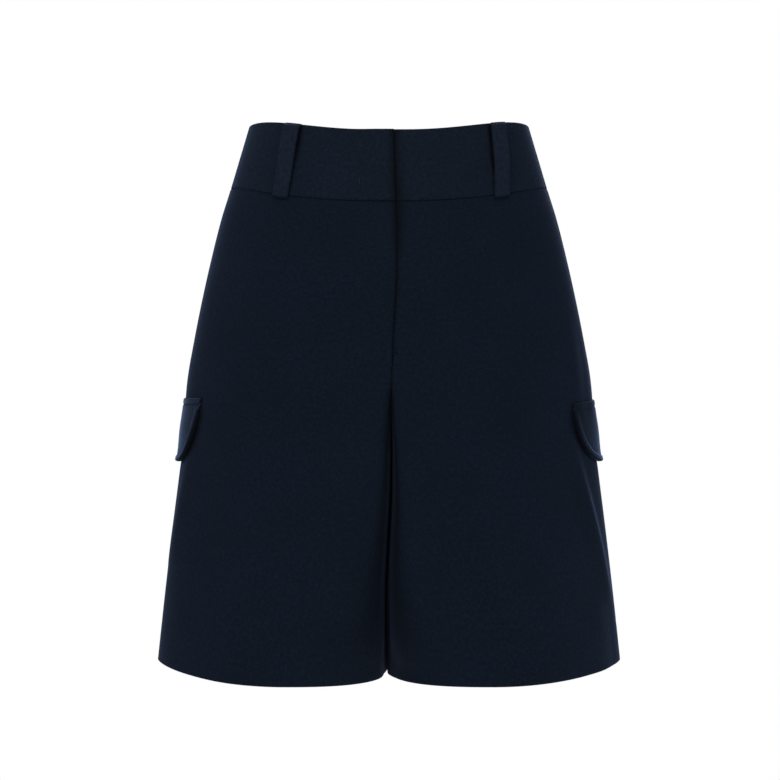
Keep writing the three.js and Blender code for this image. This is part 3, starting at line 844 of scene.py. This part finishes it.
# A panel: its net is raised by the folds and sunk by the rolled edges, the fly's edge and dip, the
# hem's dimples and the dart. Inside it is a wall deeper, with a step at hem and seam allowances.
def makePanel(half, face):
    shape = panelShape
    rows = panelRows(face)
    points, fromStart, fromSide = clothNet(half, face, clothHeight, rows, shape["across"], cut["cloth"])
    z = rows[:, None] + 0 * fromSide
    fromTop = rows[0] - z
    fromHem = z - rows[-1]
    opened = flyOpen(z) * (face == "front")
    lapped = opened * (half < 0)
    rise = foldRise(half, face, fromSide, z)
    dart = dartSink(face, fromSide, fromTop)
    shade = besideLap(half, face, points)
    # under the fork the two halves lie face to face, so that edge isn't rolled there
    facing = smooth((legs[face]["forkTop"] + shape["facingAbove"] - z) / shape["facingOver"])
    facing = facing * (1 - smooth((cut["crotch"] - z) / shape["facingEnd"]))
    startRoll = mix(edgeRoll(fromStart, shape["centreRoll"]), edgeRoll(fromStart, cut["cloth"] / 2), opened)
    sink = np.maximum.reduce([
        startRoll * (1 - facing), edgeRoll(fromSide, shape["seamRoll"]), edgeRoll(fromTop, shape["seamRoll"]),
        edgeRoll(fromHem, (cut["cloth"] + cut["hemExtra"]) / 2)])
    hemLine = shape["hemLine"][half] * bell(fromHem - cut["hemTurnUp"], shape["hemLineWide"])
    dimple = shape["hemDimple"] * hemLine * (0.5 + 0.5 * np.cos(fromSide * 2 * np.pi / shape["hemStitch"]))
    outer = rise - sink - lapRound(fromStart) * lapped - dimple - fly["dip"] * shade - dart
    hemmed = cut["hemExtra"] * stepAt(cut["hemTurnUp"] - fromHem, shape["insideStep"])
    sewn = np.minimum(fromStart + shape["openEdge"] * opened, fromSide)
    allowed = shape["allowanceThick"] * stepAt(shape["allowance"] - sewn, shape["insideStep"])
    inside = np.minimum.reduce([fromStart, fromSide, fromTop, fromHem])
    inner = rise - cut["cloth"] - hemmed - allowed + edgeRoll(inside, shape["insideRoll"])
    betweenLegs = smooth((cut["crotch"] - z) / shape["legSeamFade"])
    # painted shade: in the seam grooves, on and beside the fly's edge, between the legs, under the flaps and
    # along the hip
    pressed = np.maximum.reduce([
        darkLine(fromTop, panelSeamShade["waist"]),
        darkLine(fromSide, panelSeamShade["side"]),
        darkLine(fromStart, panelSeamShade["centre"]) * (1 - opened) * (1 - betweenLegs),
        panelSeamShade["hem"] * hemLine,
        panelSeamShade["dart"] * dart,
        lapEdgeShade(fromStart, z) * lapped,
        shade,
        hipRimShade(half, fromSide, z),
        cleftShade(half, face, points),
        flapShade(half, face, fromSide, z)])
    node = f"{face}_{'left' if half > 0 else 'right'}"
    uv = np.stack([fromSide * half, z], -1)
    return wallPiece(node, points, outer, inner, uv, pressed * woolCloth["darkest"], clothWool)


for face in ("front", "back"):
    for half in (1, -1):
        makePanel(half, face)
print("panels made")


# belt loops
bandTall = cut["bandTop"] - cut["bandSeam"]
loopShape = {
    "width": 16.5, "thick": 2.6,
    "foot": 3.6,  # how far below the waist seam it ends
    "belowTop": 0.4, "rest": 0.15, "up": 44, "across": 8,
    "crown": 0.4,  # how much fuller it is along the middle
    # under, the last of these, is how dark the painted shade on the loop's inner side is
    "crownWide": 5.0, "mapFrom": 7.0, "under": 1.0,
}
# painted shade along a loop's ends and edges: how dark, and how wide
loopEdgeShade = {"end": (0.6, 1.6), "edge": (0.45, 0.9)}
loops = [
    {"name": "belt_loop_front_left", "half": 1, "face": "front", "atTop": 96, "atFoot": 102.3,
     "stand": 4.8, "full": 0.5, "turn": 0.93, "topShift": 2.8},
    {"name": "belt_loop_front_right", "half": -1, "face": "front", "atTop": 84, "atFoot": 98.5,
     "stand": 6.2, "full": 0.88, "turn": 0.93, "topShift": 2.0},
    {"name": "belt_loop_back_left", "half": 1, "face": "back", "atTop": 76, "atFoot": 82,
     "stand": 4.4, "full": 0.7, "turn": 0.86, "topShift": 1.8},
    {"name": "belt_loop_back_right", "half": -1, "face": "back", "atTop": 76, "atFoot": 82,
     "stand": 5.0, "full": 0.75, "turn": 0.88, "topShift": 2.0},
    {"name": "belt_loop_centre_back", "half": 1, "face": "back", "atTop": 0, "atFoot": 0,
     "stand": 4.2, "full": 0.65, "turn": 0.85, "topShift": 0.0},
]


# A loop is a strip up the band, off it by an eased bow, with its edges rolled over and a little
# fuller along the middle. Its top end turns straight back in, as far round as the bow is.
def makeLoop(row):
    shape = loopShape
    face, half = row["face"], row["half"]
    fromFoot = spread(bandTall, shape["up"])[:, None]
    up = fromFoot / fromFoot[-1]
    across = spread(shape["width"], shape["across"])[None]
    turned = smooth((up - row["turn"]) / (1 - row["turn"]))
    middle = mix(row["atFoot"], row["atTop"], up) + row["topShift"] * turned
    level = mix(cut["bandSeam"], cut["bandTop"], up)
    width = along(levels, "halfWidth", level)
    lean = middle * along(levels, face, level) / (width * np.sqrt(width**2 - middle**2))
    x = middle + (across / shape["width"] * 2 - 1) * shape["width"] / 2 / np.hypot(1, lean)
    top = cut["bandTop"] - dipOf(face, turnAt(face, x, cut["bandTop"]), "top") - shape["belowTop"]
    foot = cut["bandSeam"] - dipOf(face, turnAt(face, x, cut["bandSeam"]), "seam") - shape["foot"]
    stand = shape["rest"] + row["stand"] * smooth(up / row["full"]) * (1 - turned)
    edge = np.minimum(across, shape["width"] - across)
    end = np.minimum(fromFoot, fromFoot[-1] - fromFoot)
    roll = np.maximum(edgeRoll(edge, shape["thick"] / 2), edgeRoll(end, shape["thick"] / 2))
    crown = shape["crown"] * bell(edge - shape["width"] / 2, shape["crownWide"])
    uv = np.stack(np.broadcast_arrays(across + shape["mapFrom"], fromFoot), -1)
    # painted shade along the loop's ends and edges
    pressed = np.maximum(darkLine(end, loopEdgeShade["end"]), darkLine(edge, loopEdgeShade["edge"]))
    net = bodyAtX(half, face, x, mix(foot, top, up))
    return wallPiece(row["name"], net, stand + shape["thick"] + crown - roll, stand + roll, uv,
                     pressed, loopWool, shape["under"])


for row in loops:
    makeLoop(row)
print("belt loops made")


# waistband
bandShape = {
    "up": 34, "across": 70, "roll": 1.2, "insideRoll": 0.3,
    "loopShade": 0.9,  # how dark the band is behind a loop
    "loopShadeReach": 6.4,  # how far to each side of the loop's middle
    "loopShadeSoft": 1.6,
    "loopShadeFrom": 0.12,  # how far up it starts
}
# lines of pressed nap and painted shade in the grooves of the waist seam and the side seams: how dark, and
# how wide
bandSeamShade = {"seam": (0.5, 1.1), "side": (0.8, 1.1)}
bandUp = spread(bandTall, bandShape["up"])[::-1] / bandTall  # from 1 at the top edge to 0 at the seam


# The net of a quarter of the band, with its rows from the top edge to the seam.
def bandNet(half, face):
    return clothNet(half, face, bandHeight, bandUp, bandShape["across"], cut["band"])


# Behind a loop that stands off, the band lies in shade: full between the loop's edges and a little
# past them, as far up as the loop stands off.
def loopShade(half, points, up):
    shape = bandShape
    shade = 0 * points[..., 0]
    for row in loops:
        if (row["half"], row["face"]) == (half, "front"):
            off = np.abs(half * points[..., 0] - mix(row["atFoot"], row["atTop"], up))
            under = stepAt(shape["loopShadeReach"] - off, shape["loopShadeSoft"])
            risen = smooth((up - shape["loopShadeFrom"]) / (row["full"] - shape["loopShadeFrom"]))
            shade = shade + under * risen * shape["loopShade"]
    return shade


# A piece of the band: its net is sunk by its rolled edges and by the fly's edge and dip. half is 0
# for the back. A front piece's end at the fly is as round as the band is thick.
def makeBand(node, half, points, fromStart, fromSide):
    shape = bandShape
    up = bandUp[:, None]
    fromTop = (1 - up) * bandTall + 0 * fromSide
    fromSeam = up * bandTall + 0 * fromSide
    z = points[..., 2]
    lapped = float(half < 0)
    shade = besideLap(half, "front" if half else "back", points)
    edge, seam, inside = cut["band"] / 2, shape["roll"], shape["insideRoll"]
    sink = np.maximum.reduce([edgeRoll(fromStart, edge if half else seam), edgeRoll(fromSide, seam),
                              edgeRoll(fromTop, edge), edgeRoll(fromSeam, seam)])
    lift = np.maximum.reduce([edgeRoll(fromStart, edge if half else inside), edgeRoll(fromSide, inside),
                              edgeRoll(fromTop, edge), edgeRoll(fromSeam, inside)])
    sink = sink + lapRound(fromStart) * lapped + fly["dip"] * shade
    # painted shade: in the seams, on and beside the fly's edge, behind the loops and along the hip
    pressed = np.maximum.reduce([
        darkLine(fromSeam, bandSeamShade["seam"]),
        darkLine(fromSide, bandSeamShade["side"]),
        lapEdgeShade(fromStart, z) * lapped,
        shade,
        loopShade(half, points, up),
        hipRimShade(half, fromSide, z)])
    uv = np.stack([fromSide, fromSeam], -1)
    return wallPiece(node, points, -sink, lift - cut["band"], uv,
                     pressed * woolCloth["darkest"], bandWool)


# The back in one piece: the right quarter's net, turned round, and then the left one's.
def makeBackBand():
    leftPoints, leftStart = bandNet(1, "back")[:2]
    rightPoints, rightSide = bandNet(-1, "back")[::2]
    points = np.concatenate([rightPoints[:, ::-1], leftPoints], 1)
    fromRight = np.concatenate([rightSide[:, ::-1], leftStart + rightSide[:, :1] + cut["gap"]], 1)
    return makeBand("waistband_back", 0, points, fromRight, fromRight[:, -1:] - fromRight)


for half, side in ((1, "left"), (-1, "right")):
    piece = makeBand(f"waistband_front_{side}", half, *bandNet(half, "front"))
makeBackBand()
print("waistband made")


# stitches
threadShape = {"rings": 7, "sides": 8, "sunk": 0.7, "endTaper": 0.9}
threadLook = {"colour": "1c2636", "roughness": 0.7, "specular": 0.2}
# the bar tack: short upright stitches side by side across the foot of the fly
barTack = {"radius": 0.3, "high": 0.25, "from": -4.2, "to": 9.0, "pitch": 0.62, "top": -195.4, "slope": 0.12,
           "tall": 2.6}
# thread ends left on the band: x and z of each end
bandTack = {"radius": 0.2, "high": 0.4, "ends": [
    (-26.0, 5.4, -26.0, 1.6), (-26.0, 1.6, -22.6, 1.4),
    (-26.4, -27.6, -26.4, -33.6), (-23.4, -26.4, -23.4, -30.4), (-20.6, -26.8, -20.6, -29.6),
    (-57.5, -1.0, -57.5, -3.6), (-56.0, -0.6, -56.0, -2.4),
]}


# Polyester sewing thread, spun and dyed a little lighter than the wool, so the tacks just show.
def sewingThread():
    material, tree = newMaterial("spunSewingThread")
    shader = addNode(tree, "BsdfPrincipled", Base_Color=linear(threadLook["colour"]),
                     Roughness=threadLook["roughness"], Specular_IOR_Level=threadLook["specular"])
    addNode(tree, "OutputMaterial", Surface=shader.outputs[0])
    return material


# Stitches on the front: each is a round thread between two places given as x and z, that rises
# from the cloth by a half sine and sinks in at both ends.
def makeStitches(name, starts, ends, stitch, material, lapThick):
    shape = threadShape
    t = np.linspace(0, 1, shape["rings"])[None, :, None]
    path = mix(starts[:, None], ends[:, None], t)
    x, z = path[..., 0], path[..., 1]
    reach = np.cos(turnAt("front", x, z)) ** along(levels, "sidePower", z)
    rise = np.where(x < along(centreLine, "x", z), lapRise(-1, "front", -x, z, lapThick), 0)
    centre = np.stack([x, -(along(levels, "front", z) * reach + rise), z], -1)
    centre[..., 1] -= stitch["high"] * np.sin(np.pi * t[..., 0]) - stitch["radius"] * shape["sunk"]
    ahead = np.gradient(centre, axis=1)
    ahead /= np.linalg.norm(ahead, axis=2, keepdims=True)
    side = np.cross(ahead, (0.0, 1.0, 0.0))
    side /= np.linalg.norm(side, axis=2, keepdims=True)
    over = np.cross(side, ahead)
    angle = np.linspace(0, 2 * np.pi, shape["sides"], endpoint=False)
    thick = stitch["radius"] * np.sqrt(1 - shape["endTaper"] * (2 * t - 1) ** 2)[..., None]
    ring = side[:, :, None] * np.cos(angle)[:, None] + over[:, :, None] * np.sin(angle)[:, None]
    points = centre[:, :, None] + thick * ring
    count, rings, sides = points.shape[:3]
    tube = np.arange(count * rings * sides).reshape(count, rings, sides)
    turned = np.roll(tube, -1, 2)
    walls = np.stack([tube[:, :-1], turned[:, :-1], turned[:, 1:], tube[:, 1:]], -1).reshape(-1, 4)
    caps = [*tube[:, 0, ::-1].tolist(), *tube[:, -1].tolist()]
    mesh = bpy.data.meshes.new(name)
    mesh.from_pydata(points.reshape(-1, 3) * mm, [], [*walls.tolist(), *caps])
    addPiece(name, mesh, material)


tackX = np.arange(barTack["from"], barTack["to"], barTack["pitch"])
tackTop = np.stack([tackX, barTack["top"] + barTack["slope"] * tackX], 1)
makeStitches("bar_tack", tackTop, tackTop - (0, barTack["tall"]), barTack, clothWool, cut["cloth"])
tackEnds = np.array(bandTack["ends"])
makeStitches("band_tacks", tackEnds[:, :2], tackEnds[:, 2:], bandTack, sewingThread(), cut["band"])
print("stitches made")


# floor, in metres
floorShape = {
    "belowHem": 0.49, "radius": 1.9,
    "hub": 0.02,  # radius of the face in the middle
    "sides": 128, "rings": 24, "fadeFrom": 1.1, "fadeTo": 1.88, "paint": "f2f2f0",
    "glow": 0.42,  # what the surround's white adds to the floor as seen
}


# Matt paint, rolled on: an even pale ground with no gloss, which an eased step fades out at the rim.
def floorPaint(height):
    material, tree = newMaterial("paintedFloor")
    coordinates = addNode(tree, "TexCoord")
    middle = addNode(tree, "Mapping", Vector=coordinates.outputs["Object"], Location=(0, 0, -height))
    away = addNode(tree, "VectorMath", {"operation": "LENGTH"}, in0=middle.outputs[0])
    fade = addNode(tree, "MapRange", {"interpolation_type": "SMOOTHSTEP"}, Value=away.outputs["Value"],
                   From_Min=floorShape["fadeFrom"], From_Max=floorShape["fadeTo"])
    matt = addNode(tree, "BsdfDiffuse", Color=linear(floorShape["paint"]))
    ray = addNode(tree, "LightPath")
    glow = addNode(tree, "Math", {"operation": "MULTIPLY"}, in0=ray.outputs["Is Camera Ray"],
                   in1=floorShape["glow"])
    bounce = addNode(tree, "Emission", Color=(1, 1, 1, 1), Strength=glow.outputs[0])
    lit = addNode(tree, "AddShader", in0=matt.outputs[0], in1=bounce.outputs[0])
    clear = addNode(tree, "BsdfTransparent")
    shown = addNode(tree, "MixShader", in0=fade.outputs[0], in1=lit.outputs[0],
                    in2=clear.outputs[0])
    addNode(tree, "OutputMaterial", Surface=shown.outputs[0])
    return material


# A disc below the hem: rings of points by the cosine and sine of their angle.
def makeFloor():
    shape = floorShape
    sides, rings = shape["sides"], shape["rings"]
    angle = np.linspace(0, 2 * np.pi, sides, endpoint=False)
    radius = np.linspace(shape["hub"], shape["radius"], rings)[:, None]
    height = cadBox[0][2] - shape["belowHem"]
    points = np.stack([radius * np.cos(angle), radius * np.sin(angle), height + 0 * radius * angle], -1)
    i = np.arange(rings * sides).reshape(rings, sides)
    quads = np.stack([i[:-1], i[1:], np.roll(i[1:], -1, 1), np.roll(i[:-1], -1, 1)], -1).reshape(-1, 4)
    mesh = bpy.data.meshes.new("floor")
    mesh.from_pydata(points.reshape(-1, 3), [], [*quads.tolist(), i[0].tolist()])
    mesh.materials.append(floorPaint(height))
    floor = bpy.data.objects.new("floor", mesh)
    scene.collection.objects.link(floor)


makeFloor()
print("floor made")
